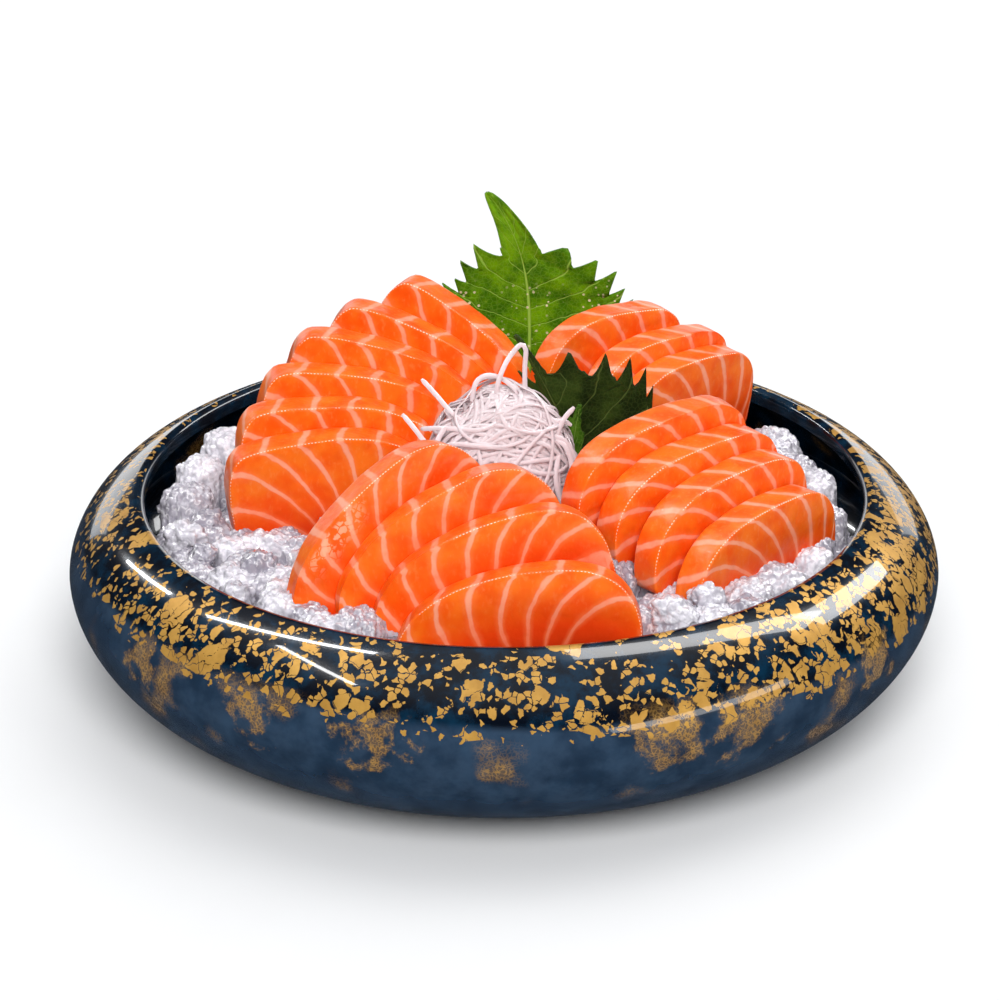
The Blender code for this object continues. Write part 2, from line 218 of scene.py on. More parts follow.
def goldFlakes(tree, place, warped):
    # flakes in drifts, thickest on the right, the larger ones crossed by fine cracks
    right = ease(tree, addNode(tree, "SeparateXYZ", {"Vector": place}).outputs["X"], 0.05, 0.12)
    drifts = noiseOf(tree, place, glaze["drift"], 2.0)
    density = maths(tree, "ADD", drifts, maths(tree, "MULTIPLY_ADD", right, 0.15, -0.05))
    outer = readAttribute(tree, "outer")
    crackle = ease(tree, edgeDistance(tree, warped, glaze["cracks"]), 0.008, 0.028)
    flakes = 0.0
    for size, share, swing in flakeLayers:
        chosen = addNode(tree, "TexVoronoi", {"Vector": warped, "Scale": 1 / size}).outputs["Color"]
        chance = addNode(tree, "SeparateColor", {"Color": chosen}).outputs["Red"]
        limit = maths(tree, "MULTIPLY_ADD", density, swing, share - 0.5 * swing)
        gold = maths(tree, "LESS_THAN", chance, maths(tree, "MULTIPLY", limit, outer))
        layer = maths(tree, "MULTIPLY", gold, ease(tree, edgeDistance(tree, warped, 1 / size), 0.045, 0.085))
        if size > 0.004:
            layer = maths(tree, "MULTIPLY", layer, crackle)
        flakes = maths(tree, "MAXIMUM", flakes, layer)
    return flakes


def rubbedGold(tree, place, warped):
    # low on the belly only a few rubbed clouds of gold are left, scratched through
    clouds = ease(tree, noiseOf(tree, place, 0.022, 2.0), 0.58, 0.72)
    ragged = maths(tree, "MULTIPLY_ADD", noiseOf(tree, place, 0.007, 3.0, 0.6), 0.044, -0.022)
    for spot, size in rubs:
        apart = addNode(tree, "VectorMath", {0: place, 1: spot}, operation="DISTANCE").outputs["Value"]
        cloud = ease(tree, maths(tree, "ADD", apart, ragged), size, 0.35 * size)
        clouds = maths(tree, "MAXIMUM", clouds, cloud)
    waver = maths(tree, "MULTIPLY_ADD", noiseOf(tree, place, 0.0015, 3.0), 0.5, -0.25)
    scratches = ease(tree, maths(tree, "ADD", edgeDistance(tree, warped, glaze["scratches"]), waver), 0.16, 0.02)
    scratches = maths(tree, "MULTIPLY_ADD", scratches, 0.6, maths(tree, "MULTIPLY", clouds, 0.3))
    rubbed = maths(tree, "MULTIPLY", maths(tree, "MULTIPLY", clouds, scratches), readAttribute(tree, "belly"))
    return maths(tree, "MULTIPLY", rubbed, glaze["rubShare"])


def glazeMaterial():
    material, tree, shader = newMaterial("navyGlaze")
    place = objectCoords(tree)
    drift = addNode(tree, "TexNoise", {"Vector": place, "Scale": 260.0, "Detail": 3.0}).outputs["Color"]
    shifted = addNode(tree, "VectorMath", {0: drift, 1: (0.5, 0.5, 0.5)}, operation="SUBTRACT").outputs[0]
    scaled = addNode(tree, "VectorMath", {0: shifted, "Scale": 0.0035}, operation="SCALE").outputs[0]
    warped = addNode(tree, "VectorMath", {0: place, 1: scaled}, operation="ADD").outputs[0]
    flakes = maths(tree, "MAXIMUM", goldFlakes(tree, place, warped), rubbedGold(tree, place, warped))
    gold = mixColours(tree, noiseOf(tree, place, 0.006, 4.0, 0.6), *[srgb(*tone) for tone in glaze["gold"]])
    cloud = ease(tree, noiseOf(tree, place, 0.009, 4.0, 0.62), 0.40, 0.68)
    navy = mixColours(tree, cloud, *[srgb(*tone) for tone in glaze["navy"]])
    parts = addNode(tree, "SeparateXYZ", {"Vector": place}).outputs
    # painted reflection: below the tilted line the outside turns slate blue, standing in for the pale floor seen in
    # the glaze
    dip = maths(tree, "MULTIPLY_ADD", parts["X"], glaze["dipTilt"], parts["Z"])
    paintedReflection = maths(tree, "MULTIPLY", ease(tree, dip, glaze["reflectionTop"], glaze["reflectionEnd"]), readAttribute(tree, "side"))
    cloud = ease(tree, noiseOf(tree, place, 0.012, 4.0, 0.6), 0.3, 0.7)
    floorReflection = mixColours(tree, cloud, *[srgb(*tone) for tone in glaze["floorReflection"]])
    ground = mixColours(tree, maths(tree, "MULTIPLY", paintedReflection, glaze["floorReflectionShare"]), navy, floorReflection)
    tree.links.new(mixColours(tree, flakes, ground, gold), shader.inputs["Base Color"])
    tree.links.new(maths(tree, "MULTIPLY", flakes, 0.25), shader.inputs["Metallic"])
    tree.links.new(maths(tree, "MULTIPLY_ADD", flakes, 0.30, 0.16), shader.inputs["Roughness"])
    shader.inputs["Specular IOR Level"].default_value = 0.12
    shader.inputs["Coat Weight"].default_value = 0.5
    shader.inputs["Coat Roughness"].default_value = 0.02
    return material


def makeBowl():
    section = bowlSection()
    bm = bmesh.new()
    corners = [bm.verts.new((radius, 0.0, height)) for radius, height in section]
    edges = [bm.edges.new(pair) for pair in zip(corners, corners[1:])]
    bmesh.ops.spin(bm, geom=corners + edges, cent=(0, 0, 0), axis=(0, 0, 1), angle=2 * math.pi,
                   steps=bowl["steps"], use_merge=True)
    bmesh.ops.remove_doubles(bm, verts=bm.verts[:], dist=0.00001)
    bmesh.ops.recalc_face_normals(bm, faces=bm.faces[:])
    mesh = meshFrom("bowlTurned", bm)
    # gold lies on the outside and on the shoulder, and thins out towards the mouth and at the dip line
    spots = np.array([vert.co for vert in mesh.vertices])
    height = spots[:, 2]
    radius = np.hypot(spots[:, 0], spots[:, 1])
    inner = np.array([vert.normal.x * vert.co.x + vert.normal.y * vert.co.y < 0 for vert in mesh.vertices])
    shown = np.clip((radius - bowl["mouth"] - 0.001) / 0.006, 0.5, 1)
    shown *= np.clip((height + glaze["dipTilt"] * spots[:, 0] - glaze["flakeEnd"]) / glaze["flakeFade"], 0, 1)
    setValues(mesh, "side", np.where(inner, 0.0, 1.0))
    setValues(mesh, "belly", np.clip((height - 0.018) / 0.010, 0, 1) * np.clip((0.052 - height) / 0.006, 0, 1))
    setValues(mesh, "outer", np.where(inner & (height < 0.0635), 0.0, shown))
    addPiece("bowlTurned", mesh, glazeMaterial(), "glaze", "bowl", sharpAngle=50)


# Salmon: brighter orange on top, with painted shade making it redder and darker low down and between the slices
# bead is the colour of the painted highlights along the ridges
salmon = dict(flesh=((250, 90, 12), (255, 118, 26)), fleshShade=(230, 62, 12), fleshDeepShade=(168, 36, 10),
              fibre=(255, 150, 84), fat=(255, 174, 144), fatShade=(246, 134, 98), fatDeepShade=(206, 84, 52),
              halo=(255, 140, 84), wetSheen=(255, 184, 146), bead=(255, 226, 206), lineShare=0.78, glintStep=1.1)
# the lines of fat run round a point below each slice, heart, in mm from the slice's low middle
# glow: how far below the top edge, in metres, the painted shade starts and is full
fans = {
    "a": dict(heart=(8.0, -7.0), swirl=14, spacing=12.8, slant=0.45, shift=0.10, drift=0.10, glow=(0.013, 0.030)),
    "b": dict(heart=(4.0, -6.0), swirl=-26, spacing=12.6, slant=0.18, shift=0.45, drift=0.16, glow=(0.003, 0.017)),
    "c": dict(heart=(6.0, -12.0), swirl=24, spacing=12.0, slant=-0.55, shift=0.30, drift=0.13, glow=(0.006, 0.022)),
    "d": dict(heart=(4.0, -14.0), swirl=18, spacing=11.5, slant=-0.60, shift=0.55, drift=0.21, glow=(0.006, 0.022)),
}
sliceLook = dict(around=120, ridge=0.0009, ridgeRing=12, chamfer=0.0009, swell=0.0006, wobble=0.00045, gap=0.0003)
# a wet, wrinkled patch near the top of one slice, painted with pale sheen
wetPatch = dict(slice="slice_b4", across=-0.013, reach=0.012, drop=0.0025, fall=0.0045)


def sliceFrame(name):
    # the slice's own axes and its outline, from its big flat back
    mesh = nodes[name].data
    normals = np.array([poly.normal for poly in mesh.polygons])
    areas = np.array([poly.area for poly in mesh.polygons])
    alike = normals @ normals.T > 0.9995
    share = alike @ areas
    share[normals[:, 1] < 0.3] = 0
    best = int(np.argmax(share))
    back = Vector(normals[best])
    corners = sorted({i for poly, same in zip(mesh.polygons, alike[best]) if same for i in poly.vertices})
    points = np.unique(np.round([mesh.vertices[i].co for i in corners], 6), axis=0)
    middle = points.mean(0)
    _, _, turned = np.linalg.svd(points - middle)
    along = Vector(turned[0])
    along = (along - along.dot(back) * back).normalized() * (1 if turned[0][0] > 0 else -1)
    up = along.cross(back)
    flat = np.array([[Vector(p - middle).dot(along), Vector(p - middle).dot(up)] for p in points])
    order = np.argsort(np.arctan2(flat[:, 1], flat[:, 0]))
    reach = [(vert.co - Vector(middle)).dot(back) for vert in mesh.vertices]
    return dict(middle=Vector(middle), along=along, back=back, up=up, outline=flat[order], depth=-min(reach))


def curveAt(p0, p1, p2, p3, t):
    # a smooth curve that runs from p1 to p2 as t goes from 0 to 1
    bend = (2 * p0 - 5 * p1 + 4 * p2 - p3) * t ** 2 + (3 * p1 - p0 - 3 * p2 + p3) * t ** 3
    return 0.5 * (2 * p1 + (p2 - p0) * t + bend)


def smoothOutline(points, count):
    # a closed curve through the points, at even steps, with its outward directions
    full = len(points)
    steps = np.linspace(0, full, 40 * full, endpoint=False)
    i = np.floor(steps).astype(int)
    t = (steps - i)[:, None]
    p0, p1, p2, p3 = (points[(i + k) % full] for k in (-1, 0, 1, 2))
    curve = curveAt(p0, p1, p2, p3, t)
    closed = np.vstack([curve, curve[:1]])
    run = np.concatenate([[0], np.cumsum(np.linalg.norm(np.diff(closed, axis=0), axis=1))])
    wanted = np.linspace(0, run[-1], count, endpoint=False)
    even = np.column_stack([np.interp(wanted, run, closed[:, k]) for k in (0, 1)])
    tangent = np.roll(even, -1, axis=0) - np.roll(even, 1, axis=0)
    tangent /= np.linalg.norm(tangent, axis=1)[:, None]
    return even, np.column_stack([tangent[:, 1], -tangent[:, 0]]), run[-1]


def sliceRings(thickness):
    # (how far in as a share, inset, depth) for each ring from the front's middle to the back's middle
    edge = sliceLook["ridge"]
    rings = [(share, edge, 0.0) for share in (0.10, 0.22, 0.35, 0.48, 0.60, 0.71, 0.81, 0.90, 0.96)]
    turns = np.linspace(0, math.pi / 2, 5)
    rings += [(1.0, edge * (1 - math.sin(turn)), edge * (1 - math.cos(turn))) for turn in turns]
    rings += [(1.0, 0.0, edge + (thickness - 2 * edge) * share) for share in (0.14, 0.28, 0.43, 0.57, 0.72, 0.86)]
    rings += [(1.0, edge * (1 - math.sin(turn)), thickness - edge * (1 - math.cos(turn))) for turn in turns[::-1]]
    return rings + [(share, edge, thickness) for share in (0.92, 0.7, 0.4)]


def fatLines(fan, outline, place, onFace, runAt, depth):
    # phase of the fat lines and half their width in phase, at each vertex
    heart = np.array([fan["heart"][0] / 1000, outline[:, 1].min() + fan["heart"][1] / 1000])
    full = len(outline)
    offset = outline - heart
    bearing = np.degrees(np.arctan2(offset[:, 1], -offset[:, 0]))
    # the part of the outline above its two long ends, from left to right
    left, right = int(np.argmin(outline[:, 0])), int(np.argmax(outline[:, 0]))
    picked = [(right + k) % full for k in range(((left - right) % full) + 1)][::-1]
    bearings = np.maximum.accumulate(bearing[picked])
    reach = np.linalg.norm(offset[picked], axis=1)
    total = np.linalg.norm(np.roll(outline, -1, axis=0) - outline, axis=1).sum()
    lengths = total * np.arange(len(picked)) / full
    away = place - heart
    own = np.degrees(np.arctan2(away[:, 1], -away[:, 0]))
    distance = np.linalg.norm(away, axis=1)
    outer = np.interp(own, bearings, reach)
    sunk = np.clip(distance / np.maximum(outer, 1e-6), 0, 1)
    hit = own - fan["swirl"] * (1 - sunk ** 2.2)
    onOutline = np.interp(hit, bearings, lengths)
    below = hit < bearings[0]
    onOutline[below] = (hit[below] - bearings[0]) * math.radians(1) * reach[0]
    along = ((picked[0] - runAt * full) % full) / full * total
    along = np.where(along > lengths[-1] + 0.35 * (total - lengths[-1]), along - total, along)
    squeeze = np.where(onFace, np.clip(sunk, 0.25, 1.0), 1.0)
    length = np.where(onFace, onOutline, along) - fan["slant"] * depth
    phase = length * 1000 / fan["spacing"] + fan["shift"]
    faceWidth = 0.85 + 1.15 * np.clip((sunk - 0.45) / 0.5, 0, 1)
    width = np.where(onFace, faceWidth, 2.3)
    return phase, width / 2 / fan["spacing"] / squeeze


def salmonMaterial():
    material, tree, shader = newMaterial("salmonFlesh")
    place = objectCoords(tree)
    phase = readAttribute(tree, "fatPhase")
    width = readAttribute(tree, "fatWidth")
    ridge = readAttribute(tree, "ridge")
    run = readAttribute(tree, "run")
    low = readAttribute(tree, "shadeLow")
    shadeDeep = readAttribute(tree, "shadeDeep")
    wrinkled = readAttribute(tree, "wetPatch")
    sway = maths(tree, "MULTIPLY_ADD", noiseOf(tree, place, 0.011, 2.0), 0.34, -0.17)
    ripple = maths(tree, "MULTIPLY_ADD", noiseOf(tree, place, 0.0022, 2.0), 0.05, -0.025)
    phase = maths(tree, "ADD", maths(tree, "ADD", phase, sway), ripple)
    away = maths(tree, "ABSOLUTE", maths(tree, "SUBTRACT", maths(tree, "FRACT", phase), 0.5))
    swell = maths(tree, "MULTIPLY_ADD", noiseOf(tree, place, 0.006, 2.0), 1.0, 0.5)
    width = maths(tree, "MULTIPLY", width, swell)
    share = maths(tree, "DIVIDE", away, width)
    line = ease(tree, share, 1.35, 0.55)
    patchy = ease(tree, noiseOf(tree, place, 0.004, 3.0), 0.25, 0.6)
    line = maths(tree, "MULTIPLY", line, maths(tree, "MULTIPLY_ADD", patchy, 0.35, 0.65))
    halo = maths(tree, "MULTIPLY", ease(tree, share, 3.6, 0.8), 0.25)
    colours = {key: srgb(*value) for key, value in salmon.items() if key not in ("flesh", "lineShare", "glintStep")}
    tone = ease(tree, noiseOf(tree, place, 0.008, 3.0), 0.3, 0.7)
    flesh = mixColours(tree, tone, *[srgb(*value) for value in salmon["flesh"]])
    fibre = ease(tree, noiseOf(tree, objectCoords(tree, (1.0, 1.0, 0.6)), 0.0013, 3.0), 0.52, 0.75)
    flesh = mixColours(tree, maths(tree, "MULTIPLY", fibre, 0.28), flesh, colours["fibre"])
    # painted shade: flesh and fat turn redder and darker towards the bottom of each face and between the slices
    flesh = mixColours(tree, low, flesh, colours["fleshShade"])
    flesh = mixColours(tree, shadeDeep, flesh, colours["fleshDeepShade"])
    fat = mixColours(tree, low, colours["fat"], colours["fatShade"])
    fat = mixColours(tree, shadeDeep, fat, colours["fatDeepShade"])
    colour = mixColours(tree, halo, flesh, colours["halo"])
    colour = mixColours(tree, maths(tree, "MULTIPLY", line, salmon["lineShare"]), colour, fat)
    # painted sheen on the wet, wrinkled patch: pale blotches broken by creases
    sheenBlotch = ease(tree, noiseOf(tree, place, 0.0030, 2.0), 0.46, 0.52)
    creases = ease(tree, edgeDistance(tree, place, 360.0), 0.02, 0.10)
    sheenBlotch = maths(tree, "MULTIPLY", maths(tree, "MULTIPLY", sheenBlotch, creases), wrinkled)
    colour = mixColours(tree, maths(tree, "MULTIPLY", sheenBlotch, 0.75), colour, colours["wetSheen"])
    # painted highlights: a dotted row of glints along each ridge, standing for fine wet beads of light
    step = maths(tree, "FRACT", maths(tree, "DIVIDE", run, salmon["glintStep"]))
    dots = ease(tree, maths(tree, "ABSOLUTE", maths(tree, "SUBTRACT", step, 0.5)), 0.30, 0.16)
    gate = ease(tree, noiseOf(tree, place, 0.006, 2.0), 0.36, 0.50)
    wet = maths(tree, "MULTIPLY", maths(tree, "MULTIPLY", ease(tree, ridge, 0.50, 0.85), dots), gate)
    colour = mixColours(tree, wet, colour, colours["bead"])
    tree.links.new(colour, shader.inputs["Base Color"])
    shader.inputs["Roughness"].default_value = 0.34
    shader.inputs["Subsurface Weight"].default_value = 0.1
    shader.inputs["Subsurface Radius"].default_value = (1.0, 0.28, 0.12)
    shader.inputs["Subsurface Scale"].default_value = 0.003
    shader.inputs["Specular IOR Level"].default_value = 0.22
    shader.inputs["Coat Weight"].default_value = 0.04
    shader.inputs["Coat Roughness"].default_value = 0.16
    addBump(tree, shader, noiseOf(tree, place, 0.0036, 3.0, 0.45), 0.0006, 0.6)
    return material


def pressBack(bm, own, front, thickness, depth, ridge):
    # what would reach into the slice in front is pressed flat against its back
    cut = front["middle"] + front["back"] * sliceLook["gap"]
    for k, vert in enumerate(bm.verts):
        ahead = (cut - vert.co).dot(front["back"])
        if ahead > 0:
            push = min(ahead / own["back"].dot(front["back"]), max(0.0, thickness - depth[k]))
            vert.co += own["back"] * push
            depth[k] += push
            ridge[k] = 0.0


def trimFront(bm, front):
    # what still stands in front of that back is cut away and the hole closed
    geometry = bm.verts[:] + bm.edges[:] + bm.faces[:]
    cut = front["middle"] + front["back"] * (sliceLook["gap"] - 0.0001)
    bmesh.ops.bisect_plane(bm, geom=geometry, plane_co=cut, plane_no=front["back"], clear_inner=True, dist=1e-6)
    rims = [edge for edge in bm.edges if edge.is_boundary]
    if rims:
        filled = bmesh.ops.holes_fill(bm, edges=rims)
        bmesh.ops.triangulate(bm, faces=filled["faces"])


def makeSlice(name, fan, own, front, thickness, flesh, index):
    outline, outward, total = smoothOutline(own["outline"], sliceLook["around"])
    outline = outline + outward * sliceLook["chamfer"]
    around = len(outline)
    rings = sliceRings(thickness)
    count = len(rings) + 1
    bm = bmesh.new()
    bmesh.ops.create_uvsphere(bm, u_segments=around, v_segments=count, radius=1.0)
    place, depth, runAt, onFace, ridge = [], [], [], [], []
    for vert in bm.verts:
        ring = round(math.acos(max(-1.0, min(1.0, -vert.co.z))) / math.pi * count)
        turn = math.atan2(vert.co.y, vert.co.x) / (2 * math.pi) % 1.0
        i = round(turn * around) % around
        share, inset, deep = rings[ring - 1] if 0 < ring < count else (0.0, 0.0, 0.0 if ring == 0 else thickness)
        point = (outline[i] - outward[i] * inset) * share
        place.append(point)
        depth.append(deep)
        runAt.append(i / around)
        onFace.append(share < 1.0)
        ridge.append(1.0 if share == 1.0 and ring == sliceLook["ridgeRing"] and 3 < i < around - 3 else 0.0)
        bulge = -sliceLook["swell"] * (1 - share ** 2) if deep < thickness / 2 else 0.0
        back = own["back"] * (deep - thickness + bulge)
        vert.co = own["middle"] + own["along"] * point[0] + own["up"] * point[1] + back
    bmesh.ops.recalc_face_normals(bm, faces=bm.faces[:])
    bm.normal_update()
    for vert in bm.verts:
        lump = noise.noise(vert.co / 0.013) + 0.45 * noise.noise(vert.co / 0.0055)
        vert.co += vert.normal * sliceLook["wobble"] * lump
    if front:
        pressBack(bm, own, front, thickness, depth, ridge)
    place, depth, runAt, onFace = np.array(place), np.array(depth), np.array(runAt), np.array(onFace)
    shifted = dict(fan, shift=fan["shift"] + index * fan["drift"])
    phase, width = fatLines(shifted, outline, place, onFace, runAt, depth)
    top = np.interp(place[:, 0], *zip(*sorted((p[0], p[1]) for p in outline if p[1] > -0.002)))
    drop = top - place[:, 1]
    # the painted shade grows with the drop below the slice's top edge
    start, end = fan["glow"]
    wetness = np.zeros(len(place))
    if name == wetPatch["slice"]:
        across = (place[:, 0] - wetPatch["across"]) / wetPatch["reach"]
        wetness = np.clip(1.5 - np.hypot(across, (drop - wetPatch["drop"]) / wetPatch["fall"]), 0, 1)
        wetness *= onFace * (depth < thickness / 2)
    values = {"fatPhase": phase, "fatWidth": width, "ridge": ridge, "wetPatch": wetness}
    values["run"] = runAt * total * 1000
    values["shadeLow"] = np.clip((drop - start) / (end - start), 0, 1)
    values["shadeDeep"] = np.clip((drop - end) / 0.010, 0, 1)
    for key in values:
        layer = bm.verts.layers.float.new(key)
        for vert, value in zip(bm.verts, values[key]):
            vert[layer] = float(value)
    if front:
        trimFront(bm, front)
    addPiece(name + "_fine", meshFrom(name + "_fine", bm), flesh, "salmon", name, sharpAngle=48)


def makeSlices():
    flesh = salmonMaterial()
    for letter, fan in fans.items():
        names = [name for name in sliceNames if name[6] == letter]
        front, thickness = None, None
        for index, name in enumerate(names):
            own = sliceFrame(name)
            thickness = thickness or own["depth"]
            makeSlice(name, fan, own, front, thickness, flesh, index)
            front = own


# Ice: melted-together lumps covered with small beads, a heap of them and loose lumps on top
# deep is a darker copy of the clear colours: painted shade for the core seen in the gaps
# ring is the colour of the painted highlights on the beads, joinShade of the painted shade between them
ice = dict(seed=7, radius=0.1165, step=0.00048, lumps=150, melt=0.0011, bead=0.0024, relief=0.0010, loose=40,
           ground=0.0480, slope=-0.07, rimTop=0.0622, coreDrop=0.007,
           clear=((164, 159, 170), (224, 220, 228)), deep=((120, 118, 128), (150, 148, 158)),
           ring=(255, 252, 255), joinShade=(122, 118, 132))
# in front of the long slices the ice lies below the lip: half width, middle and start of the hollow, and its depth
frontHollow = dict(half=0.042, middle=0.003, start=-0.086, depth=0.009)
# lumps piled against the wall and in front, in mm: x, y, height of the middle, radius
piles = [(88, 40, 58, 12), (94, 22, 58, 10), (99, 8, 58, 10), (84, 24, 60, 10), (101, -12, 57, 9), (93, -8, 60, 9),
         (96, -30, 57, 9), (-91, 36, 58, 11), (-99, 18, 58, 9), (-86, 46, 57, 9), (-102, 2, 57, 9), (-58, -84, 57, 8),
         (-47, -90, 57, 7.5), (-68, -78, 57, 8)]


def iceMaterial(name, tones):
    material, tree, shader = newMaterial(name)
    place = objectCoords(tree)
    drift = maths(tree, "SUBTRACT", noiseOf(tree, place, 0.018, 3.0), 0.5)
    frost = maths(tree, "ADD", readAttribute(tree, "tone"), drift)
    colour = mixColours(tree, ease(tree, frost, 0.15, 0.95), *[srgb(*tone) for tone in tones])
    # painted light on each small bead: a grey heart, part of a bright ring of painted highlight and painted shade in
    # the join to the next
    drift = addNode(tree, "TexNoise", {"Vector": place, "Scale": 520.0, "Detail": 1.0}).outputs["Color"]
    drift = addNode(tree, "VectorMath", {0: drift, "Scale": 0.0016}, operation="SCALE").outputs[0]
    bent = addNode(tree, "VectorMath", {0: place, 1: drift}, operation="ADD").outputs[0]
    beads = addNode(tree, "TexVoronoi", {"Vector": bent, "Scale": 480.0}).outputs["Distance"]
    ring = maths(tree, "MULTIPLY", ease(tree, beads, 0.20, 0.40), ease(tree, beads, 0.60, 0.42))
    ring = maths(tree, "MULTIPLY", ring, ease(tree, noiseOf(tree, place, 0.0024, 1.0), 0.42, 0.60))
    joinShade = ease(tree, beads, 0.46, 0.85)
    colour = mixColours(tree, maths(tree, "MULTIPLY", ring, 0.55), colour, srgb(*ice["ring"]))
    colour = mixColours(tree, maths(tree, "MULTIPLY", joinShade, 0.35), colour, srgb(*ice["joinShade"]))
    tree.links.new(colour, shader.inputs["Base Color"])
    shader.inputs["Roughness"].default_value = 0.12
    shader.inputs["IOR"].default_value = 1.31
    shader.inputs["Coat Weight"].default_value = 1.0
    shader.inputs["Coat Roughness"].default_value = 0.03
    addBump(tree, shader, maths(tree, "SUBTRACT", 1.0, beads), 0.0008, 0.6)
    return material


def iceEdge(x, y):
    # how far out the ice reaches: up to the lip in front, short of the wall behind
    return 0.1135 - 0.0075 * min(1.0, max(0.0, (y + 0.02) / 0.05))


def placeLumps(count, small, large, apart, food):
    spread = random.Random(ice["seed"] + count)
    lumps = []
    for _ in range(14000):
        if len(lumps) == count:
            break
        turn, radius = spread.uniform(0, 2 * math.pi), ice["radius"] * math.sqrt(spread.random())
        x, y = radius * math.cos(turn), radius * math.sin(turn)
        size = spread.uniform(small, large)
        if radius + 0.72 * size > iceEdge(x, y) or (food and heightOf(sliceTree, x, y) is not None):
            continue
        if food and y < frontHollow["start"] and abs(x - frontHollow["middle"]) < frontHollow["half"]:
            continue
        level = heightOf(iceTree, x, y)
        if level is None or sliceTree.find_nearest(Vector((x, y, level)))[3] < (0.45 if food else -1) * size:
            continue
        if any(math.hypot(x - lump[0].x, y - lump[0].y) < apart * (size + lump[1].x) for lump in lumps):
            continue
        radii = Vector((size, size * spread.uniform(0.8, 1.0), size * spread.uniform(0.60, 0.85)))
        lumps.append((Vector((x, y, level)), radii, spread.uniform(0, math.pi), spread.random()))
    return lumps


def beadRelief(spot):
    # melted beads of about two millimetres, with sharp joins, some sunk deeper than others
    drift = noise.noise_vector(spot / 0.006) * 0.0007
    near, homes = noise.voronoi((spot + drift) / ice["bead"])
    dome = math.sqrt(min(1.0, (near[1] - near[0]) / 0.55))
    return ice["relief"] * (dome - 0.55 + 0.55 * (noise.cell(homes[0] * 7.3) - 0.5))


def reliefOnto(mesh):
    count = len(mesh.vertices)
    spots, facing = np.empty(count * 3, np.float32), np.empty(count * 3, np.float32)
    mesh.vertices.foreach_get("co", spots)
    mesh.vertices.foreach_get("normal", facing)
    spots, facing = spots.reshape(-1, 3), facing.reshape(-1, 3)
    rise = np.array([beadRelief(Vector(spot)) for spot in spots.tolist()])
    mesh.vertices.foreach_set("co", (spots + facing * rise[:, None]).ravel())
    mesh.update()


def hiddenUnderFood():
    # a coarse map of what lies well under the slices, where no ice is needed
    step, count = 0.002, 120
    line = (np.arange(count) - (count - 1) / 2) * step
    cover = np.array([[heightOf(sliceTree, x, y) is not None for x in line] for y in line])
    inner = cover.copy()
    for across in (-3, 0, 3):
        for along in (-2, 0, 3, 6):  # more is kept in front, where the eye looks in under the slices
            inner &= np.roll(np.roll(cover, across, 1), along, 0)

    def hidden(x, y):
        i = np.clip(np.round(x / step + (count - 1) / 2).astype(int), 0, count - 1)
        j = np.clip(np.round(y / step + (count - 1) / 2).astype(int), 0, count - 1)
        return inner[j, i] | (np.hypot(x - daikonPlace[0], y - daikonPlace[1]) < 0.014)
    return hidden


def makeIceHeap(material):
    lumps = placeLumps(ice["lumps"], 0.0060, 0.0125, 0.56, False)
    spread = random.Random(ice["seed"] + 9)
    for x, y, z, size in piles:
        radii = Vector((size, size * 0.9, size * 0.8)) / 1000
        middle = Vector((x, y, z)) / 1000 + Vector((0, 0, 0.4 * radii.z))
        lumps.append((middle, radii, spread.uniform(0, 3), spread.random()))
    print("lumps", len(lumps))
    hidden = hiddenUnderFood()
    reach = ice["radius"]
    rows = int(2 * reach / ice["step"])
    for side, first in (("Left", -reach), ("Right", 0.0)):
        bm = bmesh.new()
        bmesh.ops.create_grid(bm, x_segments=rows // 2, y_segments=rows, size=1.0)
        spots = np.array([vert.co for vert in bm.verts])
        x, y = first + (spots[:, 0] + 1) / 2 * reach, spots[:, 1] * reach
        gone = (np.hypot(x, y) > reach) | hidden(x, y)
        lost = [vert for vert, out in zip(bm.verts, gone) if out]
        x, y = x[~gone], y[~gone]
        bmesh.ops.delete(bm, geom=lost, context="VERTS")
        melt = ice["melt"]
        # the low ground between and below the lumps takes a dull tone: painted shade in the valleys
        sums = np.exp((ice["ground"] + ice["slope"] * y - 0.05) / melt)
        tone = 0.2 * sums
        for centre, radii, turn, shade in lumps:
            dx, dy = x - centre.x, y - centre.y
            across = (dx * math.cos(turn) + dy * math.sin(turn)) / radii.x
            along = (dy * math.cos(turn) - dx * math.sin(turn)) / radii.y
            inside = 1 - across ** 2 - along ** 2
            top = centre.z + radii.z * (np.sqrt(np.maximum(inside, 0)) - 0.66 + 0.5 * (shade - 0.5))
            weight = np.where(inside > 0, np.exp((top - 0.05) / melt), 0.0)
            sums += weight
            tone += shade * weight
        tone /= sums
        radius = np.hypot(x, y)
        hollow = np.clip((frontHollow["half"] - abs(x - frontHollow["middle"])) / 0.008, 0, 1)
        hollow *= np.clip((frontHollow["start"] - y) / 0.006, 0, 1)
        level = 0.05 + melt * np.log(sums) - frontHollow["depth"] * hollow
        level = np.where(radius > 0.106, np.minimum(level, ice["rimTop"]), level)
        edge = np.array([iceEdge(px, py) for px, py in zip(x, y)])
        level -= 0.016 * np.clip((radius - edge) / 0.004, 0, 1)
        for vert, px, py, pz in zip(bm.verts, x.tolist(), y.tolist(), level.tolist()):
            vert.co = (px, py, pz)
        mesh = meshFrom("iceHeap" + side, bm)
        reliefOnto(mesh)
        setValues(mesh, "tone", tone)
        addPiece("iceHeap" + side, mesh, material, "ice")


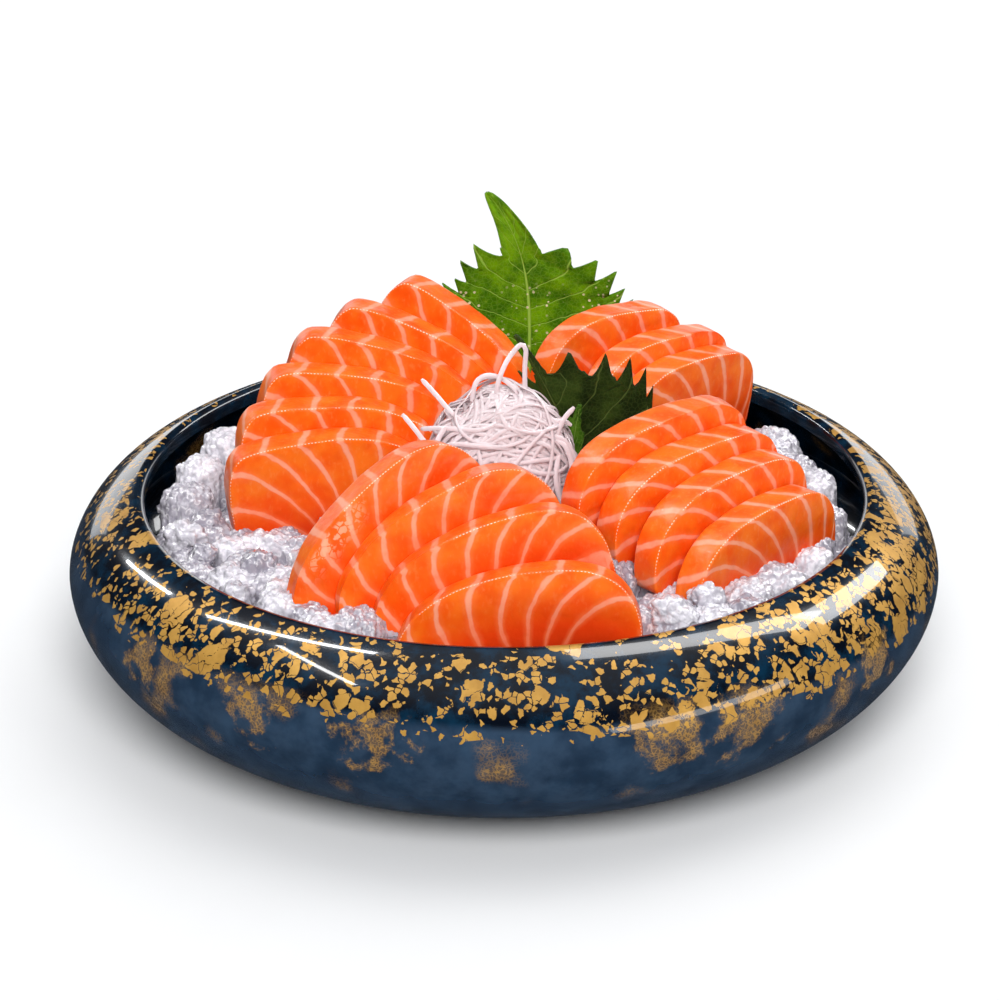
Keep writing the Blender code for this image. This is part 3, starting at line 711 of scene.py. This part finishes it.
def makeLooseIce(material):
    # whole lumps lying on the heap
    spread = random.Random(ice["seed"] + 5)
    lumps = placeLumps(ice["loose"], 0.0045, 0.0095, 0.92, True)
    print("loose lumps", len(lumps))
    bm = bmesh.new()
    shade = bm.verts.layers.float.new("tone")
    for centre, radii, turn, tone in lumps:
        made = bmesh.ops.create_icosphere(bm, subdivisions=4, radius=1.0)["verts"]
        lift = spread.uniform(-0.25, 0.30) * radii.z
        tilt = Matrix.Rotation(turn, 3, "Z") @ Matrix.Rotation(spread.uniform(-0.5, 0.5), 3, "X")
        seed = Vector((turn * 5, tone * 9, 0))
        for vert in made:
            swell = 1 + 0.26 * noise.noise(vert.co * 1.3 + seed) + 0.12 * noise.noise(vert.co * 3.1 + seed)
            spot = tilt @ Vector((vert.co.x * radii.x, vert.co.y * radii.y, vert.co.z * radii.z)) * swell
            vert.co = centre + spot + Vector((0, 0, lift))
            vert[shade] = tone
    low = [vert for vert in bm.verts if vert.co.z < (heightOf(iceTree, vert.co.x, vert.co.y) or 0.05) - 0.007]
    bmesh.ops.delete(bm, geom=low, context="VERTS")
    mesh = meshFrom("iceLumps", bm)
    reliefOnto(mesh)
    addPiece("iceLumps", mesh, material, "ice")


def makeIceCore(material):
    bm = bmesh.new()
    bmesh.ops.create_uvsphere(bm, u_segments=96, v_segments=48, radius=1.0)
    for vert in bm.verts:
        reach = math.acos(min(1.0, abs(vert.co.z))) / (math.pi / 2)
        flat = Vector((vert.co.x, vert.co.y, 0))
        out = flat.normalized() * (0.112 * reach) if flat.length > 1e-6 else Vector((0, 0, 0))
        level = (heightOf(iceTree, out.x, out.y) or 0.05) - ice["coreDrop"] - 0.012 * max(0.0, reach - 0.88) / 0.12
        vert.co = (out.x, out.y, level if vert.co.z >= -1e-6 else 0.026)
    bmesh.ops.recalc_face_normals(bm, faces=bm.faces[:])
    addPiece("iceCore", meshFrom("iceCore", bm), material, "ice", "ice_heap")


def makeIce():
    noise.seed_set(ice["seed"])  # noise_vector starts from the clock unless it is seeded
    clear = iceMaterial("clearIce", ice["clear"])
    makeIceHeap(clear)
    makeLooseIce(clear)
    # the core seen deep in the gaps takes a darker copy of the ice colours: painted shade
    makeIceCore(iceMaterial("shadedIce", ice["deep"]))


# Daikon: flat moist shreds wound over a small core, with a few stray loops and ends, in mm from the heap's middle
daikon = dict(seed=21, shreds=310, width=0.00066, thin=0.00030, core=0.92, step=0.0016 / 0.021,
              tones=((218, 196, 198), (240, 226, 229)))
strays = [
    [(-0.8, -4, 20), (-0.3, -3, 29.7), (1.8, 0, 35.2), (4.4, 3, 38.5), (7.0, 4, 40.9), (8.6, 4, 39.2),
     (8.3, 3, 32.8), (8.6, 1, 25.1), (10.2, -2, 18)],
    [(-8.4, -4, 25), (-7.1, -2, 30.4), (-4.0, 0, 32.1), (0.2, 1, 31.1), (4.4, 0, 28.4), (7.6, -2, 24.7),
     (9.6, -4, 20)],
    [(-24.2, 2, 30.1), (-19.7, 0, 25.6), (-15.0, -3, 21.1), (-10.2, -6, 18.0)],
    [(-30.2, -4, 20.7), (-26.5, -6, 16.7), (-22.8, -8, 12.5), (-18.6, -10, 9.5)],
    [(-24.4, -6, 16.5), (-16.5, -9, 18.0), (-6.0, -11, 17.4), (4.4, -11, 17.0), (12, -11, 12)],
    [(-16.5, -9, 18.6), (-19.1, -12, 14.8), (-18.0, -14, 12.2), (-10.2, -15, 7.6), (-2, -17, 4)],
    [(23.8, -3, 22.6), (20.1, -6, 19.0), (17.0, -9, 11.2), (13.8, -13, 3.8), (13, -15, -3)],
    [(23.0, -3, 16.4), (20.5, -4, 18.4), (17.5, -5, 18.9), (13.3, -6, 21.9), (7.5, -6, 24.1), (1.3, -5, 24.8),
     (-6, -5, 22)],
    [(17, -8, 14), (20.6, -9, 12.3), (22.8, -10, 7.1), (22.8, -12, 2.2), (20.2, -14, -8.4), (16, -15, -14)],
    [(15, -8, 16), (21, -8, 13), (24.2, -8, 6), (24.4, -9, -2), (22.5, -10, -12), (19, -12, -22)],
    [(19, -10, 10), (18, -13, 3), (19.5, -14, -4), (22.5, -12, -8), (24, -9, -14)],
]


def sweepShred(heap, path, width, thin, facing):
    # a flat closed tube along a path, from a sphere whose rings are laid along it
    bm = bmesh.new()
    path = np.array(path)
    count = len(path)
    tangents = np.gradient(path, axis=0)
    across = np.cross(tangents, np.array(facing))
    across /= np.maximum(np.linalg.norm(across, axis=1), 1e-9)[:, None]
    out = np.cross(across, tangents)
    out /= np.maximum(np.linalg.norm(out, axis=1), 1e-9)[:, None]
    for vert in bmesh.ops.create_uvsphere(bm, u_segments=6, v_segments=count + 1, radius=1.0)["verts"]:
        ring = round(math.acos(max(-1.0, min(1.0, vert.co.z))) / math.pi * (count + 1))
        turn = math.atan2(vert.co.y, vert.co.x) + math.pi / 6
        i = min(max(ring - 1, 0), count - 1)
        size = 0.0 if ring in (0, count + 1) else 0.6 if i in (0, count - 1) else 1.0
        vert.co = path[i] + size * (across[i] * width * math.cos(turn) + out[i] * thin * math.sin(turn))
    bmesh.ops.recalc_face_normals(bm, faces=bm.faces[:])
    shred = meshFrom("shred", bm)
    heap.from_mesh(shred)
    bpy.data.meshes.remove(shred)


def smoothPath(corners, step=0.0012):
    corners = np.array(corners, float)
    padded = np.vstack([2 * corners[0] - corners[1], corners, 2 * corners[-1] - corners[-2]])
    out = []
    for i in range(1, len(padded) - 2):
        p0, p1, p2, p3 = padded[i - 1:i + 3]
        count = max(2, int(np.linalg.norm(p2 - p1) / step))
        for t in np.arange(count) / count:
            out.append(curveAt(p0, p1, p2, p3, t))
    out.append(padded[-2])
    return np.array(out)


def daikonMaterial():
    material, tree, shader = newMaterial("daikonShreds")
    place = objectCoords(tree)
    colour = mixColours(tree, noiseOf(tree, place, 0.006, 3.0), *[srgb(*tone) for tone in daikon["tones"]])
    tree.links.new(colour, shader.inputs["Base Color"])
    shader.inputs["Roughness"].default_value = 0.3
    shader.inputs["IOR"].default_value = 1.34
    shader.inputs["Subsurface Weight"].default_value = 0.15
    shader.inputs["Subsurface Radius"].default_value = (1.0, 0.85, 0.82)
    shader.inputs["Subsurface Scale"].default_value = 0.0008
    shader.inputs["Coat Weight"].default_value = 0.4
    shader.inputs["Coat Roughness"].default_value = 0.08
    addBump(tree, shader, noiseOf(tree, place, 0.0015, 2.0), 0.0003, 0.5)
    return material


def heapSwell(unit):
    # the heap's own unevenness, always inwards
    return min(0.0, 0.16 * noise.noise(unit * 1.7 + Vector((3.0, 1.0, 0.0))) - 0.035)


def windShred(spread, number, middle, radii):
    # the path of one shred over the heap, and which way is up from the heap along it
    unit = Vector((spread.gauss(0, 1), spread.gauss(0, 1), spread.gauss(0, 1)))
    unit = Vector((unit.x, unit.y, abs(unit.z) * 0.9 - 0.25)).normalized()
    level = spread.uniform(0.94, 1.0)
    stand = spread.uniform(0.05, 0.13) if spread.random() < 0.14 else 0.0  # a few stand off in low arches
    steep = 1.2 if unit.x > 0.60 else 0.20
    heading = Vector((1.0, spread.gauss(0, 0.30), spread.gauss(0, steep) - 0.30 * unit.x))
    heading = (heading - heading.dot(unit) * unit).normalized()
    bend = spread.uniform(-0.07, 0.07)
    path, normals = [], []
    steps = spread.randint(20, 46)
    for k in range(steps):
        waver = 0.04 * noise.noise(unit * 2.2 + Vector((number * 3.1, 0, 0)))
        lift = min(level + heapSwell(unit) + waver, 1.0) + stand * math.sin(math.pi * k / steps)
        path.append(middle + Vector((unit.x * radii.x, unit.y * radii.y, unit.z * radii.z)) * lift)
        normals.append(Vector((unit.x / radii.x, unit.y / radii.y, unit.z / radii.z)).normalized())
        unit = (unit + heading * daikon["step"]).normalized()
        heading = (heading - heading.dot(unit) * unit).normalized()
        heading = (Matrix.Rotation(bend, 3, unit) @ heading).normalized()
        bend += spread.gauss(0, 0.025)
    return path, normals


def makeDaikon():
    spread = random.Random(daikon["seed"])
    low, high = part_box("daikon_heap")
    middle = (low + high) / 2
    radii = (high - low) / 2
    bm = bmesh.new()
    for number in range(daikon["shreds"]):
        path, normals = windShred(spread, number, middle, radii)
        size = spread.uniform(0.75, 1.15)
        sweepShred(bm, path, daikon["width"] * size, daikon["thin"] * size, normals)
    for stray in strays:
        path = smoothPath([middle + Vector(corner) / 1000 for corner in stray])
        normals = [np.array((0.2, -0.8, 0.55)) for _ in path]
        sweepShred(bm, path, daikon["width"] * 1.2, daikon["thin"] * 1.5, normals)
    white = daikonMaterial()
    addPiece("daikonShreds", meshFrom("daikonShreds", bm), white, "daikon", "daikon_heap", sharpAngle=80)
    bm = bmesh.new()
    bmesh.ops.create_icosphere(bm, subdivisions=4, radius=1.0)
    for vert in bm.verts:
        lump = daikon["core"] + heapSwell(vert.co)
        vert.co = middle + Vector((vert.co.x * radii.x, vert.co.y * radii.y, vert.co.z * radii.z)) * lump
    addPiece("daikonCore", meshFrom("daikonCore", bm), white, "daikon")


# Shiso leaves: x across, z up along the midrib, y through the blade
leaves = {
    "shiso_leaf_tall": dict(base=(0.0086, 0.0800, 0.0560), length=0.0765, halfWidth=0.0320, waist=0.36, fullness=0.5,
                            tipWidth=0.0056, hook=-0.0143, yaw=-4.0, lean=1.5, roll=0.0, leftShare=0.82, fold=0.0,
                            teeth=12.5, toothOut=0.0042, toothForward=0.0064,
                            toothPeak=0.46, toothWide=1.0, smallTooth=0.0, cup=0.10, firstTooth=0.04,
                            light=(108, 156, 2), dark=(52, 98, 0), vein=(150, 188, 74)),
    "shiso_leaf_dark": dict(base=(0.0305, 0.0080, 0.0540), length=0.0615, halfWidth=0.0270, waist=0.374, fullness=0.8,
                            tipWidth=0.0016, hook=-0.0030, yaw=4.0, lean=7.0, roll=-23.0, leftShare=0.50, fold=52.0,
                            teeth=8.5, toothOut=0.0042, toothForward=0.0080,
                            toothPeak=0.60, toothWide=0.62, smallTooth=0.26, cup=0.10, firstTooth=0.08,
                            light=(50, 66, 20), dark=(22, 34, 8), vein=(84, 98, 46), lit=(62, 92, 34)),
    "shiso_leaf_small": dict(base=(0.0215, 0.0010, 0.0560), length=0.0330, halfWidth=0.0028, waist=0.42, fullness=0.5,
                             tipWidth=0.0012, hook=0.0020, yaw=20.0, lean=4.0, roll=3.0, leftShare=1.0, fold=25.0,
                             teeth=3.5, toothOut=0.0014, toothForward=0.0030,
                             toothPeak=0.60, toothWide=1.0, smallTooth=0.0, cup=0.10, firstTooth=0.20,
                             light=(74, 112, 24), dark=(36, 66, 8), vein=(120, 150, 66)),
}


def leafMaterial(name, leaf):
    material, tree, shader = newMaterial(name)
    place = objectCoords(tree)
    across = readAttribute(tree, "across")
    along = readAttribute(tree, "along")
    edge = readAttribute(tree, "edge")
    apart = maths(tree, "ABSOLUTE", across)
    # side veins leave the midrib and curve towards the tip
    lead = maths(tree, "MULTIPLY", maths(tree, "POWER", apart, 0.85), 1.55)
    count = maths(tree, "SUBTRACT", maths(tree, "MULTIPLY", along, leaf["teeth"] * 0.95), lead)
    sway = maths(tree, "MULTIPLY_ADD", noiseOf(tree, place, 0.006, 2.0), 0.30, -0.15)
    part = maths(tree, "FRACT", maths(tree, "ADD", count, sway))
    sideVein = ease(tree, maths(tree, "ABSOLUTE", maths(tree, "SUBTRACT", part, 0.5)), 0.045, 0.010)
    midrib = ease(tree, apart, 0.026, 0.010)
    netVein = maths(tree, "MULTIPLY", ease(tree, edgeDistance(tree, place, 720.0), 0.12, 0.02), 0.16)
    veins = maths(tree, "MAXIMUM", maths(tree, "MAXIMUM", maths(tree, "MULTIPLY", sideVein, 0.75), midrib), netVein)
    tone = noiseOf(tree, place, 0.007, 4.0, 0.6)
    blade = mixColours(tree, ease(tree, tone, 0.3, 0.7), srgb(*leaf["dark"]), srgb(*leaf["light"]))
    blade = mixColours(tree, maths(tree, "MULTIPLY", edge, 0.5), blade, srgb(*leaf["dark"]))
    colour = mixColours(tree, veins, blade, srgb(*leaf["vein"]))
    if name == "shisoTall":  # fine pale specks low on the blade
        dots = addNode(tree, "TexVoronoi", {"Vector": place, "Scale": 460.0}).outputs["Distance"]
        zone = ease(tree, noiseOf(tree, place, 0.014, 2.0), 0.38, 0.52)
        zone = maths(tree, "MULTIPLY", zone, ease(tree, along, 0.62, 0.50))
        chance = maths(tree, "MULTIPLY", ease(tree, dots, 0.25, 0.17), zone)
        colour = mixColours(tree, chance, colour, srgb(228, 214, 176))
    if name == "shisoDark":  # the folded half catches more light
        lit = maths(tree, "MULTIPLY", ease(tree, across, -0.02, -0.20), 0.8)
        colour = mixColours(tree, lit, colour, srgb(*leaf["lit"]))
    tree.links.new(colour, shader.inputs["Base Color"])
    shader.inputs["Roughness"].default_value = 0.5
    shader.inputs["Specular IOR Level"].default_value = 0.12
    relief = maths(tree, "SUBTRACT", maths(tree, "MULTIPLY", tone, 0.6), veins)
    addBump(tree, shader, relief, 0.0005, 0.7)
    return material


def leafHalfWidth(leaf, along):
    waist = leaf["waist"]
    inside = max(0.0, 1 - ((along - waist) / waist) ** 2) if along < 2 * waist else 0.0
    blade = leaf["halfWidth"] * inside ** leaf["fullness"]
    tip = leaf["tipWidth"] * (max(0.0, 1 - along) / 0.15) ** 0.45
    return max(blade, tip) if along > waist else max(blade, leaf["tipWidth"] * 0.5)


def thicken(bm, thickness):
    # a second skin behind the first, joined along the margin
    bm.normal_update()
    rim = [edge for edge in bm.edges if edge.is_boundary]
    copied = bmesh.ops.duplicate(bm, geom=bm.verts[:] + bm.edges[:] + bm.faces[:])
    behind = copied["geom"]
    bmesh.ops.reverse_faces(bm, faces=[item for item in behind if isinstance(item, bmesh.types.BMFace)])
    for item in behind:
        if isinstance(item, bmesh.types.BMVert):
            item.co -= item.normal * thickness
    bmesh.ops.bridge_loops(bm, edges=rim + [copied["edge_map"][edge] for edge in rim])
    bmesh.ops.recalc_face_normals(bm, faces=bm.faces[:])


def makeLeaf(name, leaf):
    columns, rows = 36, 150
    bm = bmesh.new()
    bmesh.ops.create_grid(bm, x_segments=columns, y_segments=rows, size=1.0)
    layers = {key: bm.verts.layers.float.new(key) for key in ("across", "along", "edge")}
    fold = math.radians(leaf["fold"])
    for vert in bm.verts:
        side, along = vert.co.x, (vert.co.y + 1) / 2
        vert[layers["across"]] = side
        vert[layers["along"]] = along
        vert[layers["edge"]] = max(0.0, (abs(side) - 0.7) / 0.3)
        # the two margins' teeth don't face each other, and no two are the same length
        count = along * leaf["teeth"] / (2 * leaf["waist"] + 0.04) + (0.3 if side < 0 else 0.0)
        t = count % 1.0
        peak, wide = leaf["toothPeak"], leaf["toothWide"]
        slope = (peak - t) / (peak * wide) if t < peak else (t - peak) / ((1 - peak) * wide)
        tooth = max(0.0, 1 - slope)
        tooth = max(tooth, leaf["smallTooth"] * max(0.0, 1 - abs(t - 0.22) / 0.16))
        size = 1.0 + 0.7 * noise.noise(Vector((math.floor(count) * 1.7, side > 0, leaf["length"] * 90)))
        fading = min(1.0, max(0.0, (2 * leaf["waist"] + 0.03 - along) / 0.07))  # none on the long tip
        tooth = tooth ** 1.15 * size * fading if along > leaf["firstTooth"] else 0.0
        fade = abs(side) ** 6
        half = leafHalfWidth(leaf, along)
        across = abs(side) * half * (1.0 if side > 0 else leaf["leftShare"]) + fade * tooth * leaf["toothOut"]
        lift = leaf["cup"] * across * abs(side)
        bend = fold if side < 0 else 0.0
        out = across * math.cos(bend) + lift * math.sin(bend)
        back = across * math.sin(bend) - lift * math.cos(bend)
        hook = leaf["hook"] * max(0.0, (along - 0.3) / 0.7) ** 3
        up = leaf["length"] * along + fade * leaf["toothForward"] * tooth
        ripple = 0.0007 * noise.noise(Vector((side * 2.5, along * 9.0, 3.0))) * min(1.0, 2.5 * abs(side))
        vert.co = (hook + math.copysign(out, side), back + ripple, min(up, leaf["length"]))
    thicken(bm, 0.0005)
    turn = Matrix.Rotation(math.radians(leaf["yaw"]), 4, "Z") @ Matrix.Rotation(math.radians(leaf["roll"]), 4, "Y")
    turn = turn @ Matrix.Rotation(math.radians(-leaf["lean"]), 4, "X")
    bm.transform(Matrix.Translation(leaf["base"]) @ turn)
    key = "shiso" + name.split("_")[2].capitalize()
    group = "shiso_dark" if "dark" in name else "shiso_bright"
    addPiece(key, meshFrom(key, bm), leafMaterial(key, leaf), group, name)


# Stage, lights and camera
suns = [("keySun", (0.04, -0.85, 0.78), 3.0, 40), ("backSun", (0.35, 0.55, 1.0), 0.9, 60)]  # power, spread in degrees
# panels: from, to, width, glow
panels = {
    "leftStrip": ((-0.80, 0.36, 0.90), (-0.26, 0.08, 0.90), 0.045, 60),
    "leftFarStrip": ((-1.43, 1.40, 0.90), (-0.95, 0.64, 0.90), 0.055, 60),
    "backWall": ((-1.20, 1.50, 0.22), (1.20, 1.50, 0.22), 0.40, 2.2),
    "leftCrossStrip": ((-0.58, 0.05, 0.90), (-0.52, -0.46, 0.90), 0.03, 40),
    "rightWindow": ((0.12, 0.14, 0.90), (0.98, 0.33, 0.90), 0.22, 13),
    "rightFarWindow": ((0.93, 0.32, 0.90), (1.55, 1.40, 0.90), 0.34, 13),
    "rightLowWindow": ((0.48, -1.04, 0.34), (1.10, -0.33, 0.38), 0.12, 8),
}
# the camera looks down at the dish's middle by rise degrees
cameraView = dict(rise=25.73, distance=1.1418, aim=0.030, sensor=36.0, lens=126.4, shift=(-0.004, 0.0769))


def addSun(name, place, power, spread):
    light = bpy.data.lights.new(name, "SUN")
    light.energy, light.angle = power, math.radians(spread)
    lamp = bpy.data.objects.new(name, light)
    lamp.location = place
    lamp.rotation_euler = Vector(place).to_track_quat("Z", "Y").to_euler()
    bpy.context.scene.collection.objects.link(lamp)
    lamp.visible_glossy = False


def addPanel(name, first, last, width, glow):
    # a soft panel between two points, facing the dish, that only gleams in wet and glazed faces
    first, last = Vector(first), Vector(last)
    middle, along = (first + last) / 2, (last - first).normalized()
    away = middle - Vector((0, 0, 0.05))
    away = (away - away.dot(along) * along).normalized()
    light = bpy.data.lights.new(name, "AREA")
    light.shape = "RECTANGLE"
    light.size, light.size_y = (last - first).length, width
    light.energy = glow * math.pi * light.size * width
    lamp = bpy.data.objects.new(name, light)
    lamp.matrix_world = Matrix.Translation(middle) @ Matrix((along, away.cross(along), away)).transposed().to_4x4()
    bpy.context.scene.collection.objects.link(lamp)
    lamp.visible_camera = lamp.visible_diffuse = False


def makeStage():
    # the floor and the suns don't gleam in the glaze, only the panels do
    bm = bmesh.new()
    bmesh.ops.create_grid(bm, x_segments=8, y_segments=8, size=3.0)
    floor = bpy.data.objects.new("floor", meshFrom("floor", bm))
    bpy.context.scene.collection.objects.link(floor)
    material, tree, shader = newMaterial("paleFloor")
    grain = noiseOf(tree, objectCoords(tree), 0.05, 2.0)
    tree.links.new(mixColours(tree, grain, (0.85, 0.85, 0.85, 1), (0.88, 0.88, 0.88, 1)), shader.inputs["Base Color"])
    shader.inputs["Roughness"].default_value = 0.6
    floor.data.materials.append(material)
    floor.visible_glossy = False
    world = bpy.data.worlds.new("world")
    world.use_nodes = True
    sky = world.node_tree
    up = addNode(sky, "SeparateXYZ", {"Vector": addNode(sky, "TexCoord").outputs["Generated"]}).outputs["Z"]
    tone = mixColours(sky, ease(sky, up, 0.55, 1.0), (0.04, 0.045, 0.055, 1), (0.7, 0.72, 0.75, 1))
    feed(sky, sky.nodes["Background"].inputs["Color"], tone)
    sky.nodes["Background"].inputs["Strength"].default_value = 1.0
    bpy.context.scene.world = world
    bpy.context.scene.view_settings.view_transform = "Standard"
    for sun in suns:
        addSun(*sun)
    for name, panel in panels.items():
        addPanel(name, *panel)
    print("stage and", len(suns) + len(panels), "lights set")


def makeCamera():
    view = cameraView
    camera = bpy.data.objects.new("camera", bpy.data.cameras.new("camera"))
    bpy.context.scene.collection.objects.link(camera)
    rise = math.radians(view["rise"])
    camera.location = (0.0, -view["distance"] * math.cos(rise), view["aim"] + view["distance"] * math.sin(rise))
    camera.rotation_euler = (math.pi / 2 - rise, 0.0, 0.0)
    camera.data.sensor_width = view["sensor"]
    camera.data.lens = view["lens"]
    camera.data.shift_x, camera.data.shift_y = view["shift"]
    bpy.context.scene.camera = camera
    print("camera set")


makeBowl()
makeSlices()
makeIce()
makeDaikon()
for leafName, leafSettings in leaves.items():
    makeLeaf(leafName, leafSettings)
makeStage()
makeCamera()
